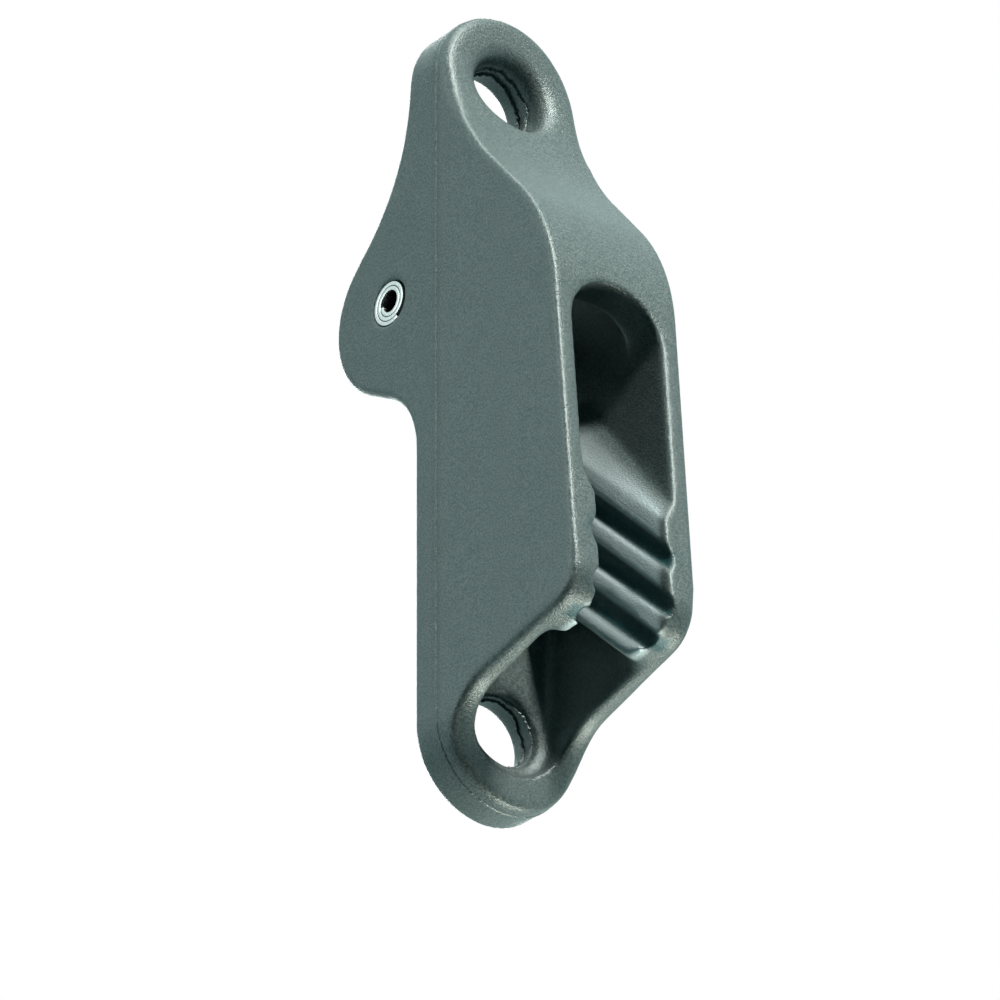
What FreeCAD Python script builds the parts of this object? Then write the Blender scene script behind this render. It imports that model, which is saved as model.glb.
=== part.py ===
"""Cast trapeze cleat: a one-piece body with a hanging eye at each end, a rope channel with
slanted teeth, and a grooved roller on a coiled spring pin where the rope turns into the channel.

Frame: +Z up along the cleat, the channel opens towards -Y, X is across. The origin is on the
upper eye's axis, in the plane where the two halves of the mould meet. Sizes in millimetres.
"""
import FreeCAD
import Part
import math
import os

import Sketcher

V = FreeCAD.Vector

# Driving dimensions. "Ahead" is towards the channel's mouth and "behind" is away from it, both
# from the mould's parting plane. A drop is a distance below the upper eye's axis.
SIZES = [
    ("eye_spacing", 59.8, "between the two eye axes"),
    ("half_width", 7.0, "half the body's width in the parting plane"),
    ("top_reach", 0.4, "upper round end's centre above its eye"),
    ("bottom_reach", 0.8, "lower round end's centre below its eye"),
    ("draft", 1.4, "mould draft of the sides, in degrees"),
    ("flash_rise", 0.06, "height of the mould's parting line on the outer wall"),
    ("flash_width", 0.26, "width of that raised line"),
    ("eye_radius", 3.4, "rope and shackle eyes"),
    ("eye_flare", 1.5, "rounded front mouth of the upper eye"),
    ("lug_front", 1.2, "upper lug's front face, ahead"),
    ("lug_back", 3.7, "upper lug's back face, behind"),
    ("toe_front", 1.6, "lower lug's front face, ahead"),
    ("back_face", 2.9, "flat back of the lower body, behind"),
    ("slope_drop", 3.7, "drop of the corner from the upper lug to the front slope"),
    ("brow_front", 14.55, "corner from the slope to the front face, ahead"),
    ("brow_drop", 19.1, "drop of the same corner"),
    ("chin_front", 17.95, "walls' lower front corner, ahead"),
    ("chin_rise", 3.9, "the same corner above the lower eye"),
    ("shoulder_fall", 4.2, "fall of the walls' lower edge on its way to the lower lug"),
    ("neck_drop", 7.1, "drop of the corner from the upper lug to the rear boss"),
    ("boss_tip_back", 19.0, "sharp tip that the rear boss would have, behind"),
    ("boss_tip_drop", 20.55, "drop of that tip"),
    ("boss_root_drop", 29.7, "drop of the corner from the boss to the flat back"),
    ("slope_radius", 23.0, "hollow between the upper lug and the slope"),
    ("brow_radius", 19.0, "round between the slope and the front face"),
    ("chin_radius", 3.6, "round of the walls' lower front corner"),
    ("toe_radius", 5.8, "hollow between the walls' lower edge and the lower lug"),
    ("neck_radius", 18.5, "hollow between the upper lug and the boss"),
    ("boss_radius", 7.8, "round of the rear boss"),
    ("boss_root_radius", 7.6, "hollow under the boss"),
    ("edge_round", 0.45, "rounding of the outer edges in front"),
    ("edge_bevel", 0.35, "bevel of the outer edges behind"),
    ("channel_half", 4.75, "half the channel's width outside the jaws"),
    ("floor_front", 0.7, "channel floor, ahead"),
    ("slot_drop", 28.6, "drop of the centre of the channel's round upper end"),
    ("tooth_pitch", 3.2, "from tooth to tooth, square to the teeth"),
    ("tooth_angle", 45.0, "fall of the teeth towards the front, in degrees"),
    ("tooth_count", 4, "teeth on each jaw"),
    ("tooth_radius", 1.0, "round of the valleys between the teeth"),
    ("valley_depth_floor", 1.15, "depth of those valleys at the channel floor"),
    ("valley_depth_front", 0.5, "depth of those valleys at the walls' front"),
    ("tooth_crest", 1.5, "flat on a tooth's crest"),
    ("first_tooth_drop", 29.95, "drop of the first crest's line where it meets the parting plane"),
    ("ramp_rise", 1.75, "rise of the ramp above the first tooth, per unit of its width"),
    ("jaw_gap_front", 7.7, "between facing crests at the walls' front"),
    ("jaw_gap_floor", 2.4, "between facing crests at the channel floor"),
    ("pin_diameter", 4.0, "coiled spring pin, and the bore it is driven into"),
    ("pin_sheet", 0.36, "thickness of the pin's rolled sheet"),
    ("pin_layer_gap", 0.05, "between the pin's layers"),
    ("pin_turns", 2.33, "turns of sheet in the pin"),
    ("pin_start", 60.0, "angle of the sheet's outer end below the forward direction"),
    ("pin_back", 6.26, "pin axis, behind"),
    ("pin_drop", 18.7, "drop of the pin axis"),
    ("pin_mouth_bevel", 0.2, "bevel of the pin bore's mouths"),
    ("pin_recess", 0.1, "pin's ends inside the cheeks' faces"),
    ("roller_radius", 5.4, "roller's flanges"),
    ("groove_mouth", 6.4, "width of the roller's rope groove at the flanges"),
    ("groove_floor", 2.4, "width of that groove at its floor"),
    ("groove_depth", 1.4, "depth of that groove"),
    ("roller_play", 0.06, "radial clearance between roller and pin"),
    ("roller_side_play", 0.25, "clearance at each end of the roller"),
    ("rope_way", 4.7, "rope's way round the roller"),
    ("rim_depth", 3.5, "depth of the slot's round rim, before the way up to the roller"),
    ("lip_drop", 29.7, "drop of the wall's top edge below the roller"),
    ("eye_ledge", 0.35, "flat round the lower eye, inside the dish's rounding"),
    ("eye_bevel", 0.5, "bevel of the eyes' rear mouths"),
    ("overshoot", 3.0, "how far cutting shapes reach past the body"),
]

# Places and sizes that follow from the driving dimensions, as formulas of the sheet.
FORMULAS = [
    ("lower_eye_z", "=-eye_spacing"),
    ("top_centre_z", "=top_reach"),
    ("bottom_centre_z", "=-eye_spacing - bottom_reach"),
    ("front_reach", "=chin_front + overshoot"),
    ("rear_reach", "=boss_tip_back + overshoot"),
    ("frame_front_y", "=-chin_front - 2 * overshoot"),
    ("frame_rear_y", "=boss_tip_back + 2 * overshoot"),
    ("frame_top_z", "=top_reach + half_width + overshoot"),
    ("frame_bottom_z", "=-eye_spacing - bottom_reach - half_width - overshoot"),
    ("full_width", "=2 * (half_width + overshoot)"),
    ("flash_reach", "=half_width + flash_rise"),
    # corners of the side profile, y and z
    ("lug_tip_y", "=-lug_front"),
    ("lug_tip_z", "=top_reach + half_width + overshoot / 2"),
    ("slope_y", "=-lug_front"),
    ("slope_z", "=-slope_drop"),
    ("brow_y", "=-brow_front"),
    ("brow_z", "=-brow_drop"),
    ("chin_y", "=-chin_front"),
    ("chin_z", "=-eye_spacing + chin_rise"),
    ("toe_y", "=-toe_front"),
    ("toe_z", "=-eye_spacing + chin_rise - shoulder_fall"),
    ("toe_tip_y", "=-toe_front"),
    ("toe_tip_z", "=-eye_spacing - bottom_reach - half_width - overshoot / 2"),
    ("heel_y", "=back_face"),
    ("heel_z", "=-eye_spacing - bottom_reach - half_width - overshoot / 2"),
    ("root_y", "=back_face"),
    ("root_z", "=-boss_root_drop"),
    ("boss_y", "=boss_tip_back"),
    ("boss_z", "=-boss_tip_drop"),
    ("neck_y", "=lug_back"),
    ("neck_z", "=-neck_drop"),
    ("nape_y", "=lug_back"),
    ("nape_z", "=top_reach + half_width + overshoot / 2"),
    # roller's cavity
    ("pin_y", "=pin_back"),
    ("pin_z", "=-pin_drop"),
    ("way_radius", "=roller_radius - groove_depth + rope_way"),
    ("way_top_z", "=-pin_drop + way_radius"),
    ("rim_y", "=-brow_front + rim_depth"),
    ("rim_z", "=-slot_drop + channel_half"),
    ("ceiling_run", "=pin_back + brow_front - rim_depth"),
    ("ceiling_fall", "=slot_drop - channel_half - pin_drop"),
    ("ceiling_reach", "=sqrt(ceiling_run ^ 2 + ceiling_fall ^ 2)"),
    ("ceiling_turn", "=atan(ceiling_fall / ceiling_run) + asin(way_radius / ceiling_reach)"),
    ("bend_y", "=pin_back - way_radius * tan(ceiling_turn / 2)"),
    ("lip_z", "=-lip_drop"),
    # channel, seen from the side
    ("channel_width", "=2 * channel_half"),
    ("channel_length", "=eye_spacing - slot_drop"),
    ("floor_y", "=-floor_front"),
    ("mouth_y", "=-front_reach"),
    ("slot_centre_z", "=-slot_drop"),
    ("tooth_rise", "=tooth_pitch / cos(tooth_angle * 1deg)"),
    ("tooth_fall", "=tan(tooth_angle * 1deg)"),
    ("crest_rise", "=tooth_crest / 2 / cos(tooth_angle * 1deg)"),
    ("last_tooth_drop", "=first_tooth_drop + (tooth_count - 1) * tooth_rise"),
    ("dish_floor_z", "=-crest_rise - last_tooth_drop - floor_front * tooth_fall"),
    ("dish_mouth_y", "=(last_tooth_drop + crest_rise - eye_spacing) / tooth_fall"),
    ("dish_round", "=channel_half - eye_radius - eye_ledge"),
    # jaws, seen along the channel
    ("jaw_slope", "=(jaw_gap_front - jaw_gap_floor) / 2 / (chin_front - floor_front)"),
    ("jaw_root", "=jaw_gap_floor / 2 - jaw_slope * floor_front"),
    ("jaw_floor_right", "=jaw_gap_floor / 2"),
    ("jaw_floor_left", "=-jaw_gap_floor / 2"),
    ("jaw_mouth_right", "=jaw_gap_front / 2 + jaw_slope * (front_reach - chin_front)"),
    ("jaw_mouth_left", "=-jaw_gap_front / 2 - jaw_slope * (front_reach - chin_front)"),
    ("valley_lift", "=(valley_depth_floor - valley_depth_front) / (chin_front - floor_front)"),
    ("valley_slope", "=jaw_slope - valley_lift"),
    ("valley_root", "=jaw_root + valley_depth_floor + valley_lift * floor_front - tooth_radius"),
    ("valley_start", "=(floor_front + tooth_radius) / cos(tooth_angle * 1deg)"),
    ("valley_length", "=(front_reach - floor_front) * 2 / cos(tooth_angle * 1deg)"),
    # ramp from the first crest out to the channel's wall
    ("ramp_fall", "=tooth_fall + jaw_slope * ramp_rise"),
    ("ramp_top", "=crest_rise - first_tooth_drop + ramp_rise * (channel_half - jaw_root)"),
    ("ramp_norm", "=sqrt(1 + ramp_fall ^ 2)"),
    ("ramp_height", "=channel_half * ramp_rise / ramp_norm"),
    ("ramp_start_y", "=back_face - ramp_height * ramp_fall / ramp_norm"),
    ("ramp_start_z", "=ramp_top + ramp_start_y * ramp_fall"),
    ("ramp_length", "=(front_reach + back_face) * ramp_norm"),
    ("recess_edge_y", "=(-slot_drop - ramp_top) / ramp_fall"),
    ("recess_mouth_z", "=ramp_top - front_reach * ramp_fall"),
    ("pin_radius", "=pin_diameter / 2"),
    ("pin_length", "=2 * (half_width - pin_back * tan(draft * 1deg) - pin_recess)"),
    ("roller_right", "=channel_half - roller_side_play"),
    ("roller_left", "=roller_side_play - channel_half"),
    ("roller_bore", "=pin_diameter / 2 + roller_play"),
    ("groove_floor_radius", "=roller_radius - groove_depth"),
    ("groove_floor_left", "=-groove_floor / 2"),
    ("groove_floor_right", "=groove_floor / 2"),
    ("groove_mouth_left", "=-groove_mouth / 2"),
    ("groove_mouth_right", "=groove_mouth / 2"),
]


def make_sheet(doc):
    """Write the driving dimensions and the formulas into the document's spreadsheet."""
    sheet = doc.addObject("Spreadsheet::Sheet", "Sizes")
    row = 0
    for alias, value, meaning in SIZES:
        row += 1
        sheet.set(f"A{row}", alias)
        sheet.set(f"B{row}", str(value))
        sheet.set(f"C{row}", meaning)
        sheet.setAlias(f"B{row}", alias)
    for alias, formula in FORMULAS:
        row += 1
        sheet.set(f"A{row}", alias)
        sheet.set(f"B{row}", formula)
        sheet.setAlias(f"B{row}", alias)
    doc.recompute()
    return sheet


doc = FreeCAD.newDocument("trapeze_cleat")
sheet = make_sheet(doc)


def size(alias):
    """One value of the sheet, as a plain number."""
    return float(sheet.get(alias))


def plane(body, role):
    """One of the body's own origin planes."""
    for feature in body.Origin.OriginFeatures:
        if feature.Role == role:
            return feature
    raise RuntimeError(role)


def new_sketch(body, name, role, offset=0.0):
    """A sketch on one of the body's origin planes, moved along that plane's normal."""
    sketch = body.newObject("Sketcher::SketchObject", name)
    sketch.AttachmentSupport = [(plane(body, role), "")]
    sketch.MapMode = "FlatFace"
    sketch.AttachmentOffset = FreeCAD.Placement(V(0, 0, offset), FreeCAD.Rotation())
    return sketch


def bind(sketch, constraint, alias):
    """Name a constraint and tie its value to a cell of the sheet."""
    name = f"{alias}_{constraint}"
    sketch.renameConstraint(constraint, name)
    sketch.setExpression(f"Constraints.{name}", f"Sizes.{alias}")


def add_circle(sketch, centre_x, centre_y, radius):
    """A circle; each argument is a sheet alias, or None for zero."""
    x = size(centre_x) if centre_x else 0.0
    y = size(centre_y) if centre_y else 0.0
    geo = sketch.addGeometry(Part.Circle(V(x, y, 0), V(0, 0, 1), size(radius)), False)
    place_point(sketch, geo, 3, centre_x, centre_y)
    bind(sketch, sketch.addConstraint(Sketcher.Constraint("Radius", geo, size(radius))), radius)
    return geo


def place_point(sketch, geo, position, x_alias, y_alias):
    """Tie a point of the geometry to the sketch origin by its two distances."""
    if x_alias:
        index = sketch.addConstraint(
            Sketcher.Constraint("DistanceX", -1, 1, geo, position, size(x_alias)))
        bind(sketch, index, x_alias)
    else:
        sketch.addConstraint(Sketcher.Constraint("PointOnObject", geo, position, -2))
    if y_alias:
        index = sketch.addConstraint(
            Sketcher.Constraint("DistanceY", -1, 1, geo, position, size(y_alias)))
        bind(sketch, index, y_alias)
    else:
        sketch.addConstraint(Sketcher.Constraint("PointOnObject", geo, position, -1))


def add_outline(sketch, corners):
    """A closed outline of straight lines through named corners, some of them rounded.

    corners holds (x alias, y alias, radius alias or None). A rounded corner's sharp point stays
    in the sketch as construction geometry, and its arc is tangent to both lines.
    """
    count = len(corners)
    points = [V(size(x), size(y), 0) for x, y, radius in corners]
    starts = []
    ends = []
    arcs = []
    for i, (x, y, radius) in enumerate(corners):
        before = (points[i - 1] - points[i]).normalize()
        after = (points[(i + 1) % count] - points[i]).normalize()
        if radius is None:
            starts.append(points[i])
            ends.append(points[i])
            arcs.append(None)
            continue
        r = size(radius)
        half = before.getAngle(after) / 2
        reach = r / math.tan(half)
        centre = points[i] + (before + after).normalize() * (r / math.sin(half))
        enter = points[i] + before * reach
        leave = points[i] + after * reach
        left_turn = (-before).cross(after).z > 0
        first, last = (enter, leave) if left_turn else (leave, enter)
        a0 = math.atan2(first.y - centre.y, first.x - centre.x)
        a1 = math.atan2(last.y - centre.y, last.x - centre.x)
        circle = Part.Circle(centre, V(0, 0, 1), r)
        arcs.append((Part.ArcOfCircle(circle, a0, a1), left_turn))
        ends.append(enter)
        starts.append(leave)
    lines = []
    for i in range(count):
        line = Part.LineSegment(starts[i], ends[(i + 1) % count])
        lines.append(sketch.addGeometry(line, False))
    for i, (x, y, radius) in enumerate(corners):
        line_in = lines[i - 1]
        line_out = lines[i]
        if radius is None:
            sketch.addConstraint(Sketcher.Constraint("Coincident", line_in, 2, line_out, 1))
            place_point(sketch, line_out, 1, x, y)
            continue
        corner = sketch.addGeometry(Part.Point(points[i]), True)
        place_point(sketch, corner, 1, x, y)
        arc, left_turn = arcs[i]
        curve = sketch.addGeometry(arc, False)
        arc_in, arc_out = (1, 2) if left_turn else (2, 1)
        sketch.addConstraint(Sketcher.Constraint("PointOnObject", corner, 1, line_in))
        sketch.addConstraint(Sketcher.Constraint("PointOnObject", corner, 1, line_out))
        sketch.addConstraint(Sketcher.Constraint("Tangent", line_in, 2, curve, arc_in))
        sketch.addConstraint(Sketcher.Constraint("Tangent", curve, arc_out, line_out, 1))
        bind(sketch, sketch.addConstraint(Sketcher.Constraint("Radius", curve, size(radius))),
             radius)


def add_stadium(sketch, top_alias, bottom_alias, radius):
    """An upright outline with straight sides and half-round ends, centred on the vertical axis."""
    r = size(radius)
    top = size(top_alias)
    bottom = size(bottom_alias)
    upper = sketch.addGeometry(
        Part.ArcOfCircle(Part.Circle(V(0, top, 0), V(0, 0, 1), r), 0, math.pi), False)
    lower = sketch.addGeometry(
        Part.ArcOfCircle(Part.Circle(V(0, bottom, 0), V(0, 0, 1), r), math.pi, 2 * math.pi), False)
    left = sketch.addGeometry(Part.LineSegment(V(-r, top, 0), V(-r, bottom, 0)), False)
    right = sketch.addGeometry(Part.LineSegment(V(r, bottom, 0), V(r, top, 0)), False)
    sketch.addConstraint(Sketcher.Constraint("Tangent", upper, 2, left, 1))
    sketch.addConstraint(Sketcher.Constraint("Tangent", left, 2, lower, 1))
    sketch.addConstraint(Sketcher.Constraint("Tangent", lower, 2, right, 1))
    sketch.addConstraint(Sketcher.Constraint("Tangent", right, 2, upper, 1))
    place_point(sketch, upper, 3, None, top_alias)
    place_point(sketch, lower, 3, None, bottom_alias)
    bind(sketch, sketch.addConstraint(Sketcher.Constraint("Radius", upper, r)), radius)


def add_half_round(sketch, centre_alias, radius, upward):
    """Half a disc on the vertical axis, with its flat side through the disc's centre."""
    r = size(radius)
    height = size(centre_alias)
    first = 0.0 if upward else math.pi
    circle = Part.Circle(V(0, height, 0), V(0, 0, 1), r)
    arc = sketch.addGeometry(Part.ArcOfCircle(circle, first, first + math.pi), False)
    ends = (V(r, height, 0), V(-r, height, 0))
    start, end = ends if upward else reversed(ends)
    flat = sketch.addGeometry(Part.LineSegment(end, start), False)
    sketch.addConstraint(Sketcher.Constraint("Coincident", arc, 2, flat, 1))
    sketch.addConstraint(Sketcher.Constraint("Coincident", flat, 2, arc, 1))
    sketch.addConstraint(Sketcher.Constraint("Horizontal", flat))
    sketch.addConstraint(Sketcher.Constraint("PointOnObject", arc, 3, flat))
    place_point(sketch, arc, 3, None, centre_alias)
    bind(sketch, sketch.addConstraint(Sketcher.Constraint("Radius", arc, r)), radius)


def add_feature(body, kind, name, sketch, length=None, side=None, reverse=False, taper=None):
    """A pad or pocket of a sketch, with its length and taper tied to the sheet."""
    feature = body.newObject(kind, name)
    feature.Profile = sketch
    if side:
        feature.SideType = side
    feature.Reversed = reverse
    feature.setExpression("Length", f"Sizes.{length}")
    if taper:
        feature.setExpression("TaperAngle", taper)
    doc.recompute()
    return feature


cleat = doc.addObject("PartDesign::Body", "Cleat")
cleat.Label = "cleat_body"

plan = new_sketch(cleat, "plan", "XZ_Plane")
add_stadium(plan, "top_centre_z", "bottom_centre_z", "half_width")
doc.recompute()
front_half = add_feature(cleat, "PartDesign::Pad", "front_half", plan, "front_reach",
                         taper="-Sizes.draft")
rear_half = add_feature(cleat, "PartDesign::Pad", "rear_half", plan, "rear_reach",
                        reverse=True, taper="-Sizes.draft")

flash = new_sketch(cleat, "flash", "XZ_Plane")
add_stadium(flash, "top_centre_z", "bottom_centre_z", "flash_reach")
parting_line = add_feature(cleat, "PartDesign::Pad", "parting_line", flash, "flash_width",
                           side="Symmetric")

side = new_sketch(cleat, "side_profile", "YZ_Plane")
add_outline(side, [("frame_front_y", "frame_top_z", None), ("frame_front_y", "frame_bottom_z", None),
                   ("frame_rear_y", "frame_bottom_z", None), ("frame_rear_y", "frame_top_z", None)])
add_outline(side, [("lug_tip_y", "lug_tip_z", None), ("slope_y", "slope_z", "slope_radius"),
                   ("brow_y", "brow_z", "brow_radius"), ("chin_y", "chin_z", "chin_radius"),
                   ("toe_y", "toe_z", "toe_radius"), ("toe_tip_y", "toe_tip_z", None),
                   ("heel_y", "heel_z", None), ("root_y", "root_z", "boss_root_radius"),
                   ("boss_y", "boss_z", "boss_radius"), ("neck_y", "neck_z", "neck_radius"),
                   ("nape_y", "nape_z", None)])

profile_cut = add_feature(cleat, "PartDesign::Pocket", "profile_cut", side, "full_width",
                          side="Symmetric")


SPANS = 8
MIDDLE = SPANS // 2
CLOSE = 0.01


def samples(edge):
    """Points spread along an edge, both ends among them."""
    first, last = edge.ParameterRange
    return [edge.valueAt(first + (last - first) * part / SPANS) for part in range(SPANS + 1)]


def on_outer_wall(point):
    """Whether a point lies on the drafted wall round the body's outside."""
    half = size("half_width") - abs(point.y) * math.tan(math.radians(size("draft")))
    nearest = min(max(point.z, size("bottom_centre_z")), size("top_centre_z"))
    return abs(math.hypot(point.x, point.z - nearest) - half) < CLOSE


def is_outer_face(face):
    """A face of the drafted wall round the body's outside."""
    u0, u1, v0, v1 = face.ParameterRange
    points = [vertex.Point for vertex in face.Vertexes]
    points.append(face.valueAt((u0 + u1) / 2, (v0 + v1) / 2))
    return all(on_outer_wall(point) for point in points)


def outer_edge(ahead):
    """Test for the edges between the outer wall and the profile's front or back faces."""
    def test(shape, edge):
        sides = [is_outer_face(face) for face in shape.ancestorsOfType(edge, Part.Face)]
        y = samples(edge)[MIDDLE].y
        facing = (y < 0) == ahead and abs(y) > size("flash_width")
        return facing and len(sides) == 2 and sides.count(True) == 1
    return test


def dress_edges(body, kind, name, alias, test):
    """Fillet or chamfer every edge of the body that passes the test."""
    base = body.Tip
    shape = base.Shape
    names = [f"Edge{i + 1}" for i, edge in enumerate(shape.Edges) if test(shape, edge)]
    if not names:
        raise RuntimeError(f"{name}: no edge")
    feature = body.newObject(f"PartDesign::{kind}", name)
    feature.Base = (base, names)
    feature.setExpression("Radius" if kind == "Fillet" else "Size", f"Sizes.{alias}")
    doc.recompute()
    return feature


dress_edges(cleat, "Fillet", "front_edges", "edge_round", outer_edge(True))
dress_edges(cleat, "Chamfer", "rear_edges", "edge_bevel", outer_edge(False))

eyes = new_sketch(cleat, "eyes", "XZ_Plane")
add_circle(eyes, None, None, "eye_radius")
add_circle(eyes, None, "lower_eye_z", "eye_radius")
eye_bores = add_feature(cleat, "PartDesign::Pocket", "eye_bores", eyes, "rear_reach",
                        side="Symmetric")

ends = new_sketch(cleat, "channel_ends", "XZ_Plane")
ends.setExpression("AttachmentOffset.Base.z", "Sizes.floor_front")
add_half_round(ends, "slot_centre_z", "channel_half", True)
add_half_round(ends, "lower_eye_z", "channel_half", False)
end_cut = add_feature(cleat, "PartDesign::Pocket", "channel_end_cut", ends, "front_reach",
                      reverse=True)

recess = new_sketch(cleat, "recess_and_dish", "YZ_Plane")
add_outline(recess, [("recess_edge_y", "slot_centre_z", None), ("mouth_y", "recess_mouth_z", None),
                     ("mouth_y", "slot_centre_z", None)])
add_outline(recess, [("floor_y", "dish_floor_z", None), ("floor_y", "lower_eye_z", None),
                     ("dish_mouth_y", "lower_eye_z", None)])
recess_cut = add_feature(cleat, "PartDesign::Pocket", "recess_cut", recess, "channel_width",
                         side="Symmetric")

jaws = new_sketch(cleat, "jaw_section", "XY_Plane")
jaws.setExpression("AttachmentOffset.Base.z", "Sizes.slot_centre_z")
add_outline(jaws, [("jaw_floor_left", "floor_y", None), ("jaw_mouth_left", "mouth_y", None),
                   ("jaw_mouth_right", "mouth_y", None), ("jaw_floor_right", "floor_y", None)])
jaw_cut = add_feature(cleat, "PartDesign::Pocket", "jaw_cut", jaws, "channel_length")

way = new_sketch(cleat, "rope_way", "YZ_Plane")
add_outline(way, [("frame_rear_y", "way_top_z", None), ("bend_y", "way_top_z", "way_radius"),
                  ("rim_y", "rim_z", None), ("rim_y", "lip_z", None),
                  ("frame_rear_y", "lip_z", None)])
way_cut = add_feature(cleat, "PartDesign::Pocket", "way_cut", way, "channel_width",
                      side="Symmetric")

pin_seat = new_sketch(cleat, "pin_seat", "YZ_Plane")
add_circle(pin_seat, "pin_y", "pin_z", "pin_radius")
pin_bore = add_feature(cleat, "PartDesign::Pocket", "pin_bore", pin_seat, "full_width",
                       side="Symmetric")


def add_ramp(body, side):
    """The ramp from the first crest out to the channel's wall: a wedge laid along the jaw.

    The wedge's thick side lies in the middle of the channel and its sharp edge on the wall.
    side is 1 for the jaw at +X and -1 for the other.
    """
    name = f"ramp_{'right' if side > 0 else 'left'}"
    across = V(side, 0, 0)
    upward = V(0, -size("ramp_fall"), 1).normalize()
    along = across.cross(upward)
    ramp = body.newObject("PartDesign::SubtractiveWedge", name)
    ends = ("Xmin", "Xmax") if side > 0 else ("Xmax", "Xmin")
    for row in ("X", "X2"):
        setattr(ramp, f"{row}{ends[0][1:]}", 0.0)
        ramp.setExpression(f"{row}{ends[1][1:]}", f"{side} * Sizes.ramp_length")
    ramp.Ymin = 0.0
    ramp.setExpression("Ymax", "Sizes.channel_half")
    ramp.setExpression("Zmin", "-Sizes.ramp_height")
    ramp.Zmax = 0.0
    ramp.Z2min = 0.0
    ramp.Z2max = 0.0
    corner = V(0, size("ramp_start_y"), size("ramp_start_z"))
    ramp.Placement = FreeCAD.Placement(corner, FreeCAD.Rotation(along, across, upward, "ZXY"))
    doc.recompute()


def add_tooth_valley(body, number, side):
    """One round valley between two teeth: a cylinder along the jaw, shallower to the front.

    side is 1 for the jaw at +X and -1 for the other; valley number 0 lies below the first tooth.
    """
    along = V(side * size("valley_slope"), -1, -size("tooth_fall")).normalize()
    height = -size("first_tooth_drop") - (number + 1 / 2) * size("tooth_rise")
    start = V(side * size("valley_root"), 0, height) + along * size("valley_start")
    name = f"valley_{'right' if side > 0 else 'left'}_{number + 1}"
    valley = body.newObject("PartDesign::SubtractiveCylinder", name)
    valley.setExpression("Radius", "Sizes.tooth_radius")
    valley.setExpression("Height", "Sizes.valley_length")
    valley.Placement = FreeCAD.Placement(start, FreeCAD.Rotation(V(0, 0, 1), along))
    doc.recompute()


for side in (1, -1):
    add_ramp(cleat, side)
    for number in range(int(size("tooth_count")) - 1):
        add_tooth_valley(cleat, number, side)


def lies_round(edge, centre_z, radius):
    """Whether an edge lies on the cylinder of that radius about a front-to-back axis."""
    return all(abs(math.hypot(point.x, point.z - centre_z) - radius) < CLOSE
               for point in samples(edge))


def eye_mouth(centre_z, ahead):
    """Test for the mouth edges of one eye, on its front or its back."""
    def test(shape, edge):
        points = samples(edge)
        curved = edge.Curve.TypeId != "Part::GeomLine"
        facing = (points[MIDDLE].y < 0) == ahead
        return curved and facing and lies_round(edge, centre_z, size("eye_radius"))
    return test


def is_dish_edge(shape, edge):
    """The edge between the lower dish's wall and the channel floor."""
    half = size("channel_half")
    points = samples(edge)
    on_floor = all(abs(point.y - size("floor_y")) < CLOSE for point in points)
    straight = all(abs(abs(point.x) - half) < CLOSE for point in points)
    below_jaws = points[MIDDLE].z < size("dish_floor_z")
    return on_floor and below_jaws and (straight or lies_round(edge, size("lower_eye_z"), half))


def is_pin_mouth(shape, edge):
    """The mouth of the pin's bore on either side of the body."""
    points = samples(edge)
    outside = all(abs(point.x) > size("channel_half") + CLOSE for point in points)
    reach = [math.hypot(point.y - size("pin_y"), point.z - size("pin_z")) for point in points]
    round_mouth = all(abs(radius - size("pin_radius")) < CLOSE for radius in reach)
    return outside and round_mouth and edge.Curve.TypeId != "Part::GeomLine"


dress_edges(cleat, "Chamfer", "pin_mouths", "pin_mouth_bevel", is_pin_mouth)
dress_edges(cleat, "Fillet", "upper_eye_front", "eye_flare", eye_mouth(0.0, True))
dress_edges(cleat, "Chamfer", "upper_eye_back", "eye_bevel", eye_mouth(0.0, False))
dress_edges(cleat, "Chamfer", "lower_eye_back", "eye_bevel", eye_mouth(size("lower_eye_z"), False))
dress_edges(cleat, "Fillet", "dish_floor", "dish_round", is_dish_edge)

roller = doc.addObject("PartDesign::Body", "Roller")
roller.Label = "rope_roller"
roller_blank = new_sketch(roller, "roller_blank", "XZ_Plane")
add_outline(roller_blank, [("roller_left", "roller_bore", None),
                           ("roller_right", "roller_bore", None),
                           ("roller_right", "roller_radius", None),
                           ("groove_mouth_right", "roller_radius", None),
                           ("groove_floor_right", "groove_floor_radius", None),
                           ("groove_floor_left", "groove_floor_radius", None),
                           ("groove_mouth_left", "roller_radius", None),
                           ("roller_left", "roller_radius", None)])
doc.recompute()
turned_roller = roller.newObject("PartDesign::Revolution", "turned_roller")
turned_roller.Profile = roller_blank
turned_roller.ReferenceAxis = (roller_blank, ["H_Axis"])
turned_roller.Angle = 360
roller.setExpression("Placement.Base.y", "Sizes.pin_y")
roller.setExpression("Placement.Base.z", "Sizes.pin_z")
doc.recompute()


LEAST_SWEEP = 0.001


def coil_arcs(offset, turns, start):
    """Half-circle arcs of a spiral that winds inwards, from `offset` inside the pin's surface.

    The arcs' centres alternate between two points half a layer apart, so each arc runs on
    tangent from the one before. The last arc ends after the given number of turns.
    """
    layer = size("pin_sheet") + size("pin_layer_gap")
    first_radius = size("pin_radius") - offset
    total = turns * 2 * math.pi
    arcs = []
    done = 0.0
    count = 0
    while total - done > LEAST_SWEEP:
        sweep = min(math.pi, total - done)
        radius = first_radius - count * layer / 2
        shift = layer / 2 if count % 2 else 0.0
        centre = direction(start + math.pi) * shift - V(size("pin_length") / 2, 0, 0)
        points = [centre + direction(start + done + part * sweep) * radius
                  for part in (0, 1 / 2, 1)]
        arcs.append(points)
        done += sweep
        count += 1
    return arcs


def direction(angle):
    """Unit vector in the pin's end plane, turning from forward through down."""
    return V(0, -math.cos(angle), -math.sin(angle))


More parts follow.
